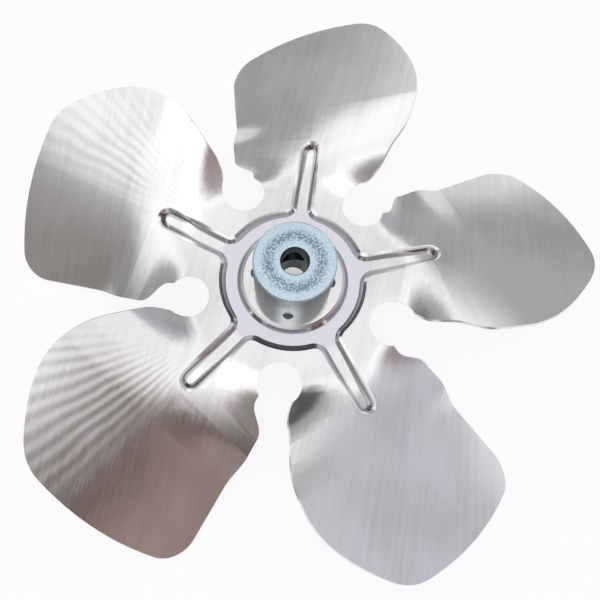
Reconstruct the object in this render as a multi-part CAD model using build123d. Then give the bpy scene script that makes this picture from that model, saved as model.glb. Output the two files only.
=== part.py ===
from build123d import *
import os
from math import atan2, cos, degrees, hypot, pi, radians, sin, tan

# Sizes in millimetres and degrees. The axis is Z and the hub side is up.
# The hub-side face of the pad is z = 0, and the first rib lies along Y.

# Sheet
blade_count = 5
first_blade = 90.0
sheet = 0.9
pad_margin = 3.0

# Pressed ring and rib grooves
groove_depth = 1.9
wall_run = 1.3
ring_inner_rim = 15.5
ring_outer_rim = 21.6
rib_half_rim = 2.9
rib_end_centre = 42.0
junction_radius = 3.2
rim_flat = 0.6

# Twist of the blade along its rib, and the camber of its trailing half
pitch = 30.0
rib_turn = 26.5
rib_rise = 1.4
twist_start = 25.0
twist_end = 57.0
root_stations = 4
outer_stations = 4
rib_patch = 4.6
camber_radius = 300.0
least_droop = 0.02
blank_half_width = 42.0
blank_end = 96.0
trim_reach = 22.0

# Blade outline, measured along the rib and across the pitched blade
shoulder_inside = (29.0, 14.0)
shoulder_way = (0.6, 1.0)
shoulder = (34.2, 17.4)
trailing_start = (42.0, 27.5)
trailing_corner = (81.8, 38.4)
tip_middle = (88.2, 8.0)
tip_lower = (87.6, -10.2)
lead_tip = (79.0, -24.0)
lead_belly = (57.0, -33.6)
lead_neck = (39.4, -25.2)
lead_inside = (29.6, -11.6)
lead_way = (-0.5, 1.0)
corner_radius = 8.5

# Keyhole notches between the blades
notch_position = 32.0
notch_radius = 6.5
neck_block_length = 13.0
neck_block_width = 26.0

# Hub
hub_radius = 11.75
hub_height = 16.0
hub_chamfer = 0.4
bore_radius = 3.97
bore_chamfer = 0.2
neck_radius = 8.0
lip_radius = 9.6
lip_height = 1.3
lip_round = 0.6
lug_count = 4
lug_centre = 11.2
lug_radius = 1.65
lug_recess = 0.2
stake_gap = 0.05

# Set screw
screw_angle = 105.0
screw_height = 8.6
screw_radius = 3.175
screw_length = 5.6
screw_inset = 0.5
socket_flats = 3.175
socket_depth = 2.6
hex_sides = 6
thread_gap = 0.05

blade_step = 360 / blade_count
wall_angle = atan2(groove_depth, wall_run)
skin_shift = sheet * tan(wall_angle / 2)
draft = degrees(pi / 2 - wall_angle)
rib_patch_end = rib_end_centre + rib_patch
full_droop = blank_half_width**2 / (2 * camber_radius)
same_place = 0.001


def smooth_share(u, start, stop):
    """Smooth rise from 0 at start to 1 at stop."""
    s = min(max((u - start) / (stop - start), 0), 1)
    return s * s * (3 - 2 * s)


def sheet_turn(u):
    """Turn of the sheet at distance u: one smooth step to the rib's end, one to full pitch."""
    inner = rib_turn * smooth_share(u, twist_start, rib_end_centre)
    return inner + (pitch - rib_turn) * smooth_share(u, rib_patch_end, twist_end)


def corners_near(face, test):
    """Corners of a face whose X and Y pass a test."""
    return face.vertices().filter_by(lambda v: test(v.X, v.Y))


def ribbed_face(half):
    """Flat sheet of a half width with the rib groove in the middle, its rims eased."""
    floor_half = rib_half_rim - wall_run
    under_rim = rib_half_rim + skin_shift
    under_floor = floor_half + skin_shift
    profile = Polyline(
        (-half, 0),
        (-rib_half_rim, 0),
        (-floor_half, -groove_depth),
        (floor_half, -groove_depth),
        (rib_half_rim, 0),
        (half, 0),
        (half, -sheet),
        (under_rim, -sheet),
        (under_floor, -sheet - groove_depth),
        (-under_floor, -sheet - groove_depth),
        (-under_rim, -sheet),
        (-half, -sheet),
        close=True,
    )
    face = make_face(profile)
    rims = corners_near(
        face, lambda x, y: abs(abs(x) - rib_half_rim) < same_place and abs(y) < same_place
    )
    return chamfer(rims, rim_flat)


def cambered_face(u):
    """Sheet that is flat up to the rib line and droops in an arc behind it."""
    half = blank_half_width
    droop = max(full_droop * smooth_share(u, rib_patch_end, twist_end), least_droop)
    top_edge = TangentArc((0, 0), (half, -droop), tangent=(1, 0))
    low_edge = TangentArc((0, -sheet), (half, -droop - sheet), tangent=(1, 0))
    flat_edge = Polyline((0, 0), (-half, 0), (-half, -sheet), (0, -sheet))
    return make_face([top_edge, Line(top_edge @ 1, low_edge @ 1), low_edge, flat_edge])


def section_plane(u):
    """Plane of the sheet's cross-section at distance u, turned and raised with the rib."""
    turn = radians(sheet_turn(u))
    rise = rib_rise * smooth_share(u, twist_start, rib_end_centre)
    return Plane(origin=(u, 0, rise), x_dir=(0, cos(turn), -sin(turn)), z_dir=(1, 0, 0))


def stations(start, stop, count):
    """Evenly spaced distances from start to stop."""
    return [start + (stop - start) * i / (count - 1) for i in range(count)]


# Root of the blade: the sheet turns from flat towards its pitch along the rib
root_places = stations(twist_start, rib_end_centre, root_stations)
blade_root = loft([section_plane(u) * ribbed_face(blank_half_width) for u in root_places])

# Round end of the rib, in a patch that keeps one turn
rib_place = Pos(rib_end_centre, 0, rib_rise) * Rot(-rib_turn, 0, 0)
rib_half_face = split(Plane.YZ * ribbed_face(rib_patch), Plane.XZ, keep=Keep.TOP)
rib_end = revolve(rib_half_face, Axis.Z, 180)
patch_face = Pos(0, -sheet / 2) * Rectangle(2 * blank_half_width, sheet)
blade_patch = extrude(section_plane(rib_end_centre) * patch_face, rib_patch)
blade_patch -= rib_place * extrude(Circle(rib_patch), trim_reach, both=True)
blade_patch += rib_place * rib_end

# Rest of the blade: it turns on to full pitch and takes its camber, then runs straight
outer_places = stations(rib_patch_end, twist_end, outer_stations)
outer_faces = [section_plane(u) * cambered_face(u) for u in outer_places]
blade_outer = loft(outer_faces) + extrude(outer_faces[-1], blank_end - twist_end)

# Outline, cut square to the pitched blade
trailing_way = Vector(*trailing_corner) - Vector(*trailing_start)
shoulder_edge = Spline(
    [shoulder_inside, shoulder, trailing_start],
    tangents=[shoulder_way, (trailing_way.X, trailing_way.Y)],
)
trailing_edge = Line(trailing_start, trailing_corner)
tip_edge = ThreePointArc(trailing_corner, tip_middle, tip_lower)
leading_edge = Spline(
    [tip_lower, lead_tip, lead_belly, lead_neck, lead_inside],
    tangents=[tip_edge % 1, lead_way],
)
closing_edge = Line(lead_inside, shoulder_inside)
outline = make_face([shoulder_edge, trailing_edge, tip_edge, leading_edge, closing_edge])
outline = fillet(outline.vertices().group_by(Axis.Y)[-1], corner_radius)
blade_trim = extrude(outline, trim_reach, both=True)

# One blade, cut out between two notches; the neck block keeps the whole root
turn_to_pitch = Pos(0, 0, rib_rise) * Rot(-pitch, 0, 0)
neck_block = Pos(twist_start, 0) * Box(neck_block_length, neck_block_width, 2 * trim_reach)
notch = extrude(Pos(notch_position, 0) * Circle(notch_radius), trim_reach, both=True)
blade = blade_root + blade_patch + blade_outer
blade &= turn_to_pitch * blade_trim + neck_block
blade -= Rot(0, 0, blade_step / 2) * notch
blade -= Rot(0, 0, -blade_step / 2) * notch


def groove_plan(grow):
    """Plan of the ring and rib grooves at their rim, grown outwards all round."""
    rim = ring_outer_rim + grow
    reach = twist_start + pad_margin
    plan = Circle(rim)
    for k in range(blade_count):
        rib = Pos(reach / 2, 0) * Rectangle(reach, 2 * (rib_half_rim + grow))
        plan += Rot(0, 0, k * blade_step) * rib
    corners = corners_near(plan, lambda x, y: abs(hypot(x, y) - rim) < same_place)
    plan = fillet(corners, junction_radius - grow)
    return plan - Circle(ring_inner_rim - grow)


def groove_edges(shape, level):
    """Edges of the grooves at one height, without the rim of the blank."""
    edges = []
    for edge in shape.edges().filter_by(lambda e: abs(e.center().Z - level) < same_place):
        spot = Vertex(edge.center().X, edge.center().Y, 0)
        if pad_blank_plan.wire().distance_to(spot) > same_place:
            edges.append(edge)
    return edges


# Pad with the pressed ring and the inner ends of the ribs
flat_turn = blade_step / 2
pad_blank_size = twist_start + 2 * pad_margin
pad_blank_plan = RegularPolygon(pad_blank_size, blade_count, major_radius=False, rotation=flat_turn)
under_plan = Pos(0, 0, -sheet) * groove_plan(skin_shift)
pad = extrude(pad_blank_plan, -sheet)
pad += extrude(under_plan, groove_depth, dir=(0, 0, -1), taper=draft)
pad -= extrude(groove_plan(0), groove_depth, dir=(0, 0, -1), taper=draft)
pad = chamfer(groove_edges(pad, 0), rim_flat)
pad_plan = RegularPolygon(twist_start, blade_count, major_radius=False, rotation=flat_turn)
pad &= extrude(pad_plan, trim_reach, both=True)
for k in range(blade_count):
    pad -= Rot(0, 0, (k + 0.5) * blade_step) * notch


def lug_plan(gap):
    """Plan of the hub's neck and its locking lugs, grown by a gap."""
    plan = Circle(neck_radius + gap)
    for k in range(lug_count):
        lug = Pos(lug_centre, 0) * Circle(lug_radius + gap)
        lug += Pos(lug_centre / 2, 0) * Rectangle(lug_centre, 2 * (lug_radius + gap))
        plan += Rot(0, 0, k * 360 / lug_count) * lug
    return plan


# Whole sheet
blades = [Rot(0, 0, first_blade + k * blade_step) * blade for k in range(blade_count)]
hub_hole = extrude(lug_plan(stake_gap), trim_reach, both=True)
blade_sheet = Rot(0, 0, first_blade) * pad - hub_hole
blade_sheet = blade_sheet.fuse(*blades)

# Hub, turned: body above the pad, neck through it, peened lip behind it
hub_profile = Polyline(
    (bore_radius + bore_chamfer, hub_height),
    (hub_radius - hub_chamfer, hub_height),
    (hub_radius, hub_height - hub_chamfer),
    (hub_radius, 0),
    (neck_radius, 0),
    (neck_radius, -sheet),
    (lip_radius, -sheet),
    (lip_radius, -sheet - lip_height + lip_round),
    (lip_radius - lip_round, -sheet - lip_height),
    (bore_radius, -sheet - lip_height),
    (bore_radius, hub_height - bore_chamfer),
    close=True,
)
hub = revolve(Plane.XZ * make_face(hub_profile), Axis.Z)
lug_ring = Circle(lug_centre + 2 * lug_radius) - Circle(hub_radius)
lug_cut = extrude(Pos(0, 0, -lug_recess) * lug_ring, lug_recess)
hub += extrude(lug_plan(0), -sheet) - lug_cut
hub -= Cylinder(bore_radius, 2 * trim_reach)

# Radial tapped hole and its screw, backed off clear of the bore
screw_outer = hub_radius - screw_inset
screw_inner = screw_outer - screw_length
screw_place = Rot(0, 0, screw_angle) * Pos(0, 0, screw_height) * Rot(0, 90, 0)
tapped_hole = extrude(Circle(screw_radius + thread_gap), hub_radius)
hub -= screw_place * tapped_hole
set_screw = Pos(0, 0, screw_inner) * extrude(Circle(screw_radius), screw_length)
socket = Pos(0, 0, screw_outer) * RegularPolygon(socket_flats / 2, hex_sides, major_radius=False)
set_screw -= extrude(socket, -socket_depth)
set_screw = screw_place * set_screw

os.makedirs("parts", exist_ok=True)
export_step(blade_sheet, "parts/blade_sheet.step")
export_step(hub, "parts/hub.step")
export_step(set_screw, "parts/set_screw.step")
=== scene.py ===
from math import cos, pi, radians

import bpy
from mathutils import Matrix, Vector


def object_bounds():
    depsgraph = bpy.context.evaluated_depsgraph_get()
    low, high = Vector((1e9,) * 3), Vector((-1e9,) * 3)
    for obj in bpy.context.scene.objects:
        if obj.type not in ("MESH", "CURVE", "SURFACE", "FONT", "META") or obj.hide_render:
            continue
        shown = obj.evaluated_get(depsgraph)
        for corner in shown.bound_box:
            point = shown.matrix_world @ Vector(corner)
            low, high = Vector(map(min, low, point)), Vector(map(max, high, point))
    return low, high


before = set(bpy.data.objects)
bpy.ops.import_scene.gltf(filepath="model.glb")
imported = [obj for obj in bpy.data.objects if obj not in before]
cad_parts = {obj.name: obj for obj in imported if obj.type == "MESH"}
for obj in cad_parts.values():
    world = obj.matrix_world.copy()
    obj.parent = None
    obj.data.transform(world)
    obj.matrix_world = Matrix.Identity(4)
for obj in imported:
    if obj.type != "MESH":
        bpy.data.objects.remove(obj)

cad_box = [list(corner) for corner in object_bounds()]


# Blade sheet: one piece of bright rolled aluminium, stamped out and pressed in a die.
# The blades are twisted at their roots, and a ring and ribs are pressed in to stiffen it.
# Rolling leaves a fine straight grain over the whole sheet, and the die faint ripples.

class Wire:
    """One shader value. Sums on it add Math nodes, and add brings in any other node."""

    colour_inputs = (6, 7)
    colour_output = 2

    def __init__(self, tree, socket=None):
        self.tree = tree
        self.socket = socket

    def add(self, kind, settings=None, inputs=None, output=0):
        """A node of a type, with its settings made first and then its sockets filled."""
        node = self.tree.nodes.new(kind)
        for name, value in (settings or {}).items():
            if name == "stops":
                ramp = node.color_ramp.elements
                while len(ramp) < len(value):
                    ramp.new(0.5)
                for element, (place, colour) in zip(ramp, value):
                    element.position = place
                    element.color = colour
            else:
                setattr(node, name, value)
        for name, value in (inputs or {}).items():
            if isinstance(value, Wire):
                self.tree.links.new(value.socket, node.inputs[name])
            else:
                node.inputs[name].default_value = value
        return Wire(self.tree, node.outputs[output] if node.outputs else None)

    def math(self, operation, other=None):
        """A Math node on this value, and on a second one where it takes two."""
        inputs = {0: self}
        if other is not None:
            inputs[1] = other
        return self.add("ShaderNodeMath", {"operation": operation}, inputs)

    def __add__(self, other):
        return self.math("ADD", other)

    def __sub__(self, other):
        return self.math("SUBTRACT", other)

    def __mul__(self, other):
        return self.math("MULTIPLY", other)

    def __truediv__(self, other):
        return self.math("DIVIDE", other)

    def __rsub__(self, other):
        return self.add("ShaderNodeMath", {"operation": "SUBTRACT"}, {0: other, 1: self})

    __radd__ = __add__
    __rmul__ = __mul__

    def length(self, other):
        """Length of the way whose two legs are this value and another."""
        return (self * self + other * other).math("SQRT")

    def step(self, low, high, start=0.0, stop=1.0, kind="SMOOTHSTEP"):
        """Step of this value from low to high, as a number from start to stop."""
        return self.add(
            "ShaderNodeMapRange",
            {"interpolation_type": kind},
            {"Value": self, "From Min": low, "From Max": high, "To Min": start, "To Max": stop},
        )

    def fall(self, low, high):
        """1 up to low and 0 from high on, with a smooth fall between them."""
        return self.step(low, high, 1.0, 0.0)

    def between(self, low, high, soft):
        """1 inside a band of this value and 0 outside it, with soft edges."""
        return self.step(low - soft, low + soft) * self.fall(high - soft, high + soft)

    def noise(self, place, scale, detail):
        """Noise at a place stretched by a scale along each axis, from 0 to 1."""
        mapped = self.add("ShaderNodeVectorMath", {"operation": "MULTIPLY"}, {0: place, 1: scale})
        return self.add("ShaderNodeTexNoise", {}, {"Vector": mapped, "Scale": 1.0, "Detail": detail})

    def parts(self, place):
        """The three numbers of a place or direction."""
        node = self.add("ShaderNodeSeparateXYZ", {}, {0: place}).socket.node
        return [Wire(self.tree, output) for output in node.outputs]

    def dot(self, first, second):
        """Dot product of two directions."""
        return self.add("ShaderNodeVectorMath", {"operation": "DOT_PRODUCT"}, {0: first, 1: second}, "Value")

    def mix(self, first, second):
        """Colour between two colours, by this value."""
        inputs = {"Factor": self, self.colour_inputs[0]: first, self.colour_inputs[1]: second}
        return self.add("ShaderNodeMix", {"data_type": "RGBA"}, inputs, self.colour_output)

    def bump(self, height):
        """Direction of a surface that has a height in metres."""
        return self.add("ShaderNodeBump", {}, {"Strength": 1.0, "Distance": 1.0, "Height": height})


def new_material(name):
    """An empty material: its shader, its wire and the object place of each point."""
    material = bpy.data.materials.new(name)
    material.use_nodes = True
    tree = material.node_tree
    wire = Wire(tree)
    place = wire.add("ShaderNodeTexCoord", output="Object")
    return material, tree.nodes["Principled BSDF"], wire, place


def join(wire, socket):
    """Leads a value to a socket of the shader."""
    wire.tree.links.new(wire.socket, socket)


def cover(node_name, material):
    """Gives one piece of the part its only material."""
    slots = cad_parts[node_name].data.materials
    slots.clear()
    slots.append(material)


# Blades, their turn along the rib, and the soft ridge past it
blade_count = 5
blade_step = 2 * pi / blade_count
first_blade = pi / 2
twist_start = 0.025
rib_turn_end = 0.042
outer_start = 0.0466
twist_end = 0.057
rib_turn = radians(26.5)
full_turn = radians(30)
straight_share = 0.3
twist_evening = 0.3
ridge_start = 0.035
ridge_full = 0.075
ridge_slope = 0.018
ridge_soft = 0.003

# Rolled grain, longer streaks, dull clouds and the ripples of the press
grain_turn = radians(8)
grain_scale = (3200.0, 160.0, 300.0)
grain_detail = 3.0
grain_height = 0.000008
streak_scale = (700.0, 22.0, 60.0)
streak_detail = 2.0
streak_height = 0.000004
cloud_scale = (26.0, 26.0, 26.0)
cloud_detail = 3.0
ripple_heart = (0.024, -0.004)
ripple_count = 92.0
ripple_waver = 14.0
ripple_height = 0.0000085
fan_start = (0.010, 0.022)
fan_side = (-0.008, 0.001)
fan_left = (-0.018, -0.034)

# Pressed ring and ribs
ring_reach = 0.0245
ring_soft = 0.002
ring_inner = 0.0155
pad_soft = 0.0005
ring_floor_depth = (-0.0014, -0.0008)
ring_wall_band = (0.0157, 0.0167)
rib_half_width = 0.0042
rib_soft = 0.0006
rib_start = 0.018
rib_end = 0.047
rib_end_soft = 0.001
rib_wall_band = (0.0015, 0.0027)
rib_wall_fade = 0.003
wall_soft = 0.0003

# Colours and polish
aluminium_light = (0.86, 0.86, 0.855, 1)
aluminium_dull = (0.71, 0.705, 0.69, 1)
# The next two colours are painted shade: the sunken floor of the ring, and the walls of the ring and ribs
ring_floor_shade_colour = (0.72, 0.71, 0.755, 1)
wall_shade_colour = (0.46, 0.455, 0.455, 1)
streak_share = 0.2
tone_range = (0.36, 0.62)
sheet_roughness = 0.18
grain_roughness = 0.10
pressed_smoothing = 0.05
pad_smoothing = 0.09

aluminium, shader, wire, place = new_material("rolled_aluminium")
turned = wire.add("ShaderNodeMapping", {}, {"Vector": place, "Rotation": (0, 0, grain_turn)})
grain = wire.noise(turned, grain_scale, grain_detail)
streaks = wire.noise(turned, streak_scale, streak_detail)
clouds = wire.noise(place, cloud_scale, cloud_detail)

# Place of each point on its own blade: along the rib and across it
x_place, y_place, z_place = wire.parts(place)
radius = x_place.length(y_place)
angle = y_place.math("ARCTAN2", x_place) - first_blade
folded = angle - (angle / blade_step).math("ROUND") * blade_step
along = radius * folded.math("COSINE")
across = radius * folded.math("SINE")

# The sheet's turn as pressed, and the turn evened out in the shading from root to tip
root_step = along.step(twist_start, rib_turn_end)
root_line = along.step(twist_start, rib_turn_end, kind="LINEAR")
root_turn = root_step * (1 - straight_share) + root_line * straight_share
outer_turn = along.step(outer_start, twist_end) * (full_turn - rib_turn)
pressed_turn = root_turn * rib_turn + outer_turn
smooth_turn = root_step * rib_turn + outer_turn
flowing_turn = along.step(twist_start, twist_end) * full_turn
wanted_turn = smooth_turn + (flowing_turn - smooth_turn) * twist_evening
evened = across * (pressed_turn - wanted_turn)

# Past its rib each blade has a soft ridge, so that its two halves catch the light apart
ridge = across.length(ridge_soft) * along.step(ridge_start, ridge_full)
true_normal = wire.add("ShaderNodeNewGeometry", output="True Normal")
upward = wire.parts(true_normal)[2].math("SIGN")
evened = (evened - ridge * ridge_slope) * upward

# Faint ripples that fan out over the leading half of the two left blades
fan_along = along - ripple_heart[0]
fan_across = across - ripple_heart[1]
fan_angle = fan_across.math("ARCTAN2", fan_along)
fan_reach = fan_along.length(fan_across)
fan_mask = fan_reach.step(*fan_start) * across.fall(*fan_side) * x_place.step(*fan_left)
ripples = (fan_angle * ripple_count + clouds * ripple_waver).math("SINE") * fan_mask
height = grain * grain_height + streaks * streak_height + ripples * ripple_height + evened
join(wire.bump(height), shader.inputs["Normal"])

# The pad, the pressed ring and the ribs are burnished smoother by the die
in_ring = radius.fall(ring_reach - ring_soft, ring_reach)
on_rib = across.math("ABSOLUTE").fall(rib_half_width - rib_soft, rib_half_width + rib_soft)
on_rib = on_rib * along.between(rib_start, rib_end, rib_end_soft)
pressed = in_ring.math("MAXIMUM", on_rib)
on_pad = radius.fall(ring_inner - pad_soft, ring_inner)
roughness = sheet_roughness + grain * grain_roughness
roughness = roughness - pressed * pressed_smoothing - on_pad * pad_smoothing
join(roughness, shader.inputs["Roughness"])

# Dull clouds over the sheet, and painted shade on the floor and walls of the ring and ribs
tone = (streaks * streak_share + clouds * (1 - streak_share)).step(*tone_range)
colour = tone.mix(aluminium_dull, aluminium_light)
# Painted shade: the ring's sunken floor is coloured a darker lilac grey
painted_floor_shade = z_place.fall(*ring_floor_depth) * in_ring
colour = painted_floor_shade.mix(colour, ring_floor_shade_colour)
# Painted shade: dark grey bands where the walls of the ribs and of the ring stand
past_end = (along - rib_turn_end).math("MAXIMUM", 0.0)
painted_rib_shade = across.length(past_end).between(*rib_wall_band, wall_soft)
painted_rib_shade = painted_rib_shade * along.step(ring_reach - rib_wall_fade, ring_reach)
painted_ring_shade = radius.between(*ring_wall_band, wall_soft)
colour = painted_rib_shade.math("MAXIMUM", painted_ring_shade).mix(colour, wall_shade_colour)
join(colour, shader.inputs["Base Color"])
shader.inputs["Metallic"].default_value = 1.0
cover("blade_sheet", aluminium)


# Hub: turned from free-cutting steel bar, bored for the motor shaft and zinc plated.
# Its neck goes through the pad of the sheet and is peened over behind it.
# The plating is bright and bluish, with a fine sparkle over the turned face; shade is painted on its side
# wall and in its bore.

zinc_pale = (0.57, 0.70, 0.77, 1)
zinc_dark = (0.20, 0.27, 0.315, 1)
# Painted shade: a dark grey for the hub's side wall, and a near black for the inside of its bore
zinc_wall_shade = (0.115, 0.13, 0.135, 1)
bore_shade = (0.045, 0.06, 0.065, 1)
bore_reach = 0.0041
bore_soft = 0.0001
face_level = 0.0158
face_soft = 0.0001
wall_edge = 0.0006
sparkle_scale = (2600.0, 2600.0, 2600.0)
sparkle_detail = 2.0
sparkle_height = 0.000010
mottle_scale = (1700.0, 1700.0, 1700.0)
mottle_detail = 3.0
dull_mottle = (0.30, 0.62)
thin_mottle = (0.42, 0.75)
thin_mottle_share = 0.4
dull_ring = (0.0062, 0.0088)
dull_ring_soft = 0.0012
turning_pitch = 0.00025
turning_height = 0.000002
zinc_roughness = 0.34
sparkle_roughness = 0.12
dull_roughness = 0.1

zinc, shader, wire, place = new_material("zinc_plating")
x_place, y_place, z_place = wire.parts(place)
radius = x_place.length(y_place)
sparkle = wire.noise(place, sparkle_scale, sparkle_detail)
mottle = wire.noise(place, mottle_scale, mottle_detail)
on_face = z_place.step(face_level, face_level + face_soft)
dull = radius.between(*dull_ring, dull_ring_soft) * on_face
turning = ((radius + z_place) * (2 * pi / turning_pitch)).math("SINE")
join(wire.bump(sparkle * sparkle_height + turning * turning_height), shader.inputs["Normal"])
shade = dull * mottle.step(*dull_mottle) + mottle.step(*thin_mottle) * thin_mottle_share
# Painted shade: the side wall below the turned face is coloured dark
hub_wall_shade = z_place.fall(face_level - wall_edge, face_level)
colour = hub_wall_shade.mix(shade.mix(zinc_pale, zinc_dark), zinc_wall_shade)
# Painted shade: the inside of the bore is coloured near black
bore_shade_mask = radius.fall(bore_reach, bore_reach + bore_soft)
join(bore_shade_mask.mix(colour, bore_shade), shader.inputs["Base Color"])
join(zinc_roughness + sparkle * sparkle_roughness + dull * dull_roughness, shader.inputs["Roughness"])
shader.inputs["Metallic"].default_value = 1.0
cover("hub", zinc)


# Set screw: a headless socket screw of alloy steel with a black oxide finish.
# It sits in the tapped hole in the side of the hub, backed off clear of the bore.

black_oxide = (0.030, 0.030, 0.032, 1)
rubbed_oxide = (0.085, 0.085, 0.088, 1)
wear_scale = (700.0, 700.0, 700.0)
wear_detail = 4.0
rubbed_range = (0.45, 0.75)
oxide_roughness = 0.55
wear_smoothing = 0.25
oxide_metal = 0.8

oxide, shader, wire, place = new_material("black_oxide")
wear = wire.noise(place, wear_scale, wear_detail)
join(wear.step(*rubbed_range).mix(black_oxide, rubbed_oxide), shader.inputs["Base Color"])
join(oxide_roughness - wear * wear_smoothing, shader.inputs["Roughness"])
shader.inputs["Metallic"].default_value = oxide_metal
cover("set_screw", oxide)


# Floor: a wide white sheet that the fan lies on, face up, on the corners of its blades.
# It stays white to the eye and in reflections, with a faint shadow, and its glow fades out under the hub
# into a painted shadow spot, in which the real shadow shows.

floor_half = 3.0
floor_corners = ((-1, -1), (1, -1), (1, 1), (-1, 1))
floor_drop = 0.0001
floor_white = (0.93, 0.92, 0.95, 1)
glow_white = (1, 1, 1, 1)
floor_glow = 0.86
shadow_spot_reach = 0.018

floor_level = cad_box[0][2] - floor_drop
floor_mesh = bpy.data.meshes.new("floor")
floor_mesh.from_pydata(
    [(right * floor_half, back * floor_half, floor_level) for right, back in floor_corners],
    [],
    [(0, 1, 2, 3)],
)
floor = bpy.data.objects.new("floor", floor_mesh)
bpy.context.scene.collection.objects.link(floor)
paper = bpy.data.materials.new("white_paper")
paper.use_nodes = True
paper.node_tree.nodes.clear()
wire = Wire(paper.node_tree)
lit = wire.add("ShaderNodeBsdfDiffuse", {}, {"Color": floor_white})
glow = wire.add("ShaderNodeEmission", {}, {"Color": glow_white, "Strength": 1.0})
x_place, y_place = wire.parts(wire.add("ShaderNodeTexCoord", output="Object"))[:2]
# Painted shadow: the glow fades to nothing at the hub's axis, so the floor shows darker under the hub
glow_outside_shadow_spot = x_place.length(y_place).step(0.0, shadow_spot_reach) * floor_glow
seen = wire.add("ShaderNodeLightPath", output="Is Camera Ray")
rays = seen.socket.node.outputs
for kind in ("Is Glossy Ray", "Is Transmission Ray"):
    seen = seen.math("MAXIMUM", Wire(wire.tree, rays[kind]))
paper_shader = wire.add("ShaderNodeMixShader", {}, {0: seen * glow_outside_shadow_spot, 1: lit, 2: glow})
wire.add("ShaderNodeOutputMaterial", {}, {"Surface": paper_shader})
floor.data.materials.append(paper)


# Light: a white tent whose bright roof leans a little to the back, with grey sides.
# The front is dimmer and warmer, where the room shows, and one soft lamp is overhead in front.

roof_way = (-0.06, 0.125, 0.990)
roof_greys = ((0.0, 0.0), (0.59, 0.0), (0.69, 0.95), (0.76, 1.0), (0.86, 0.64), (1.0, 0.66))
roof_colour = (1.28, 1.28, 1.31, 1)
side_colour = (0.40, 0.40, 0.41, 1)
front_grey = (0.29, 0.275, 0.27, 1)
front_brown = (0.35, 0.255, 0.235, 1)
brown_reach = (-0.3, 0.4)
front_reach = (0.15, -0.45)
right_colour = (0.60, 0.59, 0.66, 1)
right_reach = (0.35, 0.85)
right_back = (-0.25, 0.2)
dark_way = (0.41, -0.57, 0.71)
dark_colour = (0.060, 0.024, 0.016, 1)
dark_core = cos(radians(8))
dark_rim = cos(radians(20))
lamp_size = 0.3
lamp_power = 1.0
lamp_place = (0.0, -0.30, 0.80)
lamp_tilt = radians(20)

world = bpy.data.worlds.new("studio")
bpy.context.scene.world = world
world.use_nodes = True
world.node_tree.nodes.clear()
wire = Wire(world.node_tree)
way = wire.add("ShaderNodeTexCoord", output="Generated")
way_x, way_y = wire.parts(way)[:2]
roof_stops = [(reach, (grey, grey, grey, 1)) for reach, grey in roof_greys]
roof = wire.add("ShaderNodeValToRGB", {"stops": roof_stops}, {"Fac": wire.dot(way, roof_way)})
front = way_x.step(*brown_reach).mix(front_grey, front_brown)
tent = way_y.step(*front_reach).mix(side_colour, front)
tent = (way_x.step(*right_reach) * way_y.step(*right_back)).mix(tent, right_colour)
tent = wire.dot(way, dark_way).step(dark_rim, dark_core).mix(tent, dark_colour)
tent = roof.mix(tent, roof_colour)
sky = wire.add("ShaderNodeBackground", {}, {"Color": tent, "Strength": 1.0})
wire.add("ShaderNodeOutputWorld", {}, {"Surface": sky})

lamp_data = bpy.data.lights.new("soft_lamp", "AREA")
lamp_data.shape = "DISK"
lamp_data.size = lamp_size
lamp_data.energy = lamp_power
lamp = bpy.data.objects.new("soft_lamp", lamp_data)
lamp.matrix_world = Matrix.Translation(lamp_place) @ Matrix.Rotation(lamp_tilt, 4, "X")
bpy.context.scene.collection.objects.link(lamp)


# Camera: close above the fan and a little in front, as the part was photographed.
# It is turned and shifted so that the hub and the five blades lie where the photograph has them.

sensor_width = 36.0
lens = 36.37
near_clip = 0.01
camera_place = (0.00056, -0.05270, 0.17398)
camera_turn = radians(2.91)
camera_tilt = radians(16.66)
camera_roll = radians(4.57)
shift_right = 0.02356
shift_up = -0.03487

camera_data = bpy.data.cameras.new("camera")
camera_data.sensor_width = sensor_width
camera_data.lens = lens
camera_data.shift_x = shift_right
camera_data.shift_y = shift_up
camera_data.clip_start = near_clip
camera = bpy.data.objects.new("camera", camera_data)
aim = Matrix.Rotation(camera_turn, 4, "Z") @ Matrix.Rotation(camera_tilt, 4, "X")
aim = aim @ Matrix.Rotation(camera_roll, 4, "Z")
camera.matrix_world = Matrix.Translation(camera_place) @ aim
bpy.context.scene.collection.objects.link(camera)
bpy.context.scene.camera = camera
bpy.context.scene.view_settings.view_transform = "Standard"
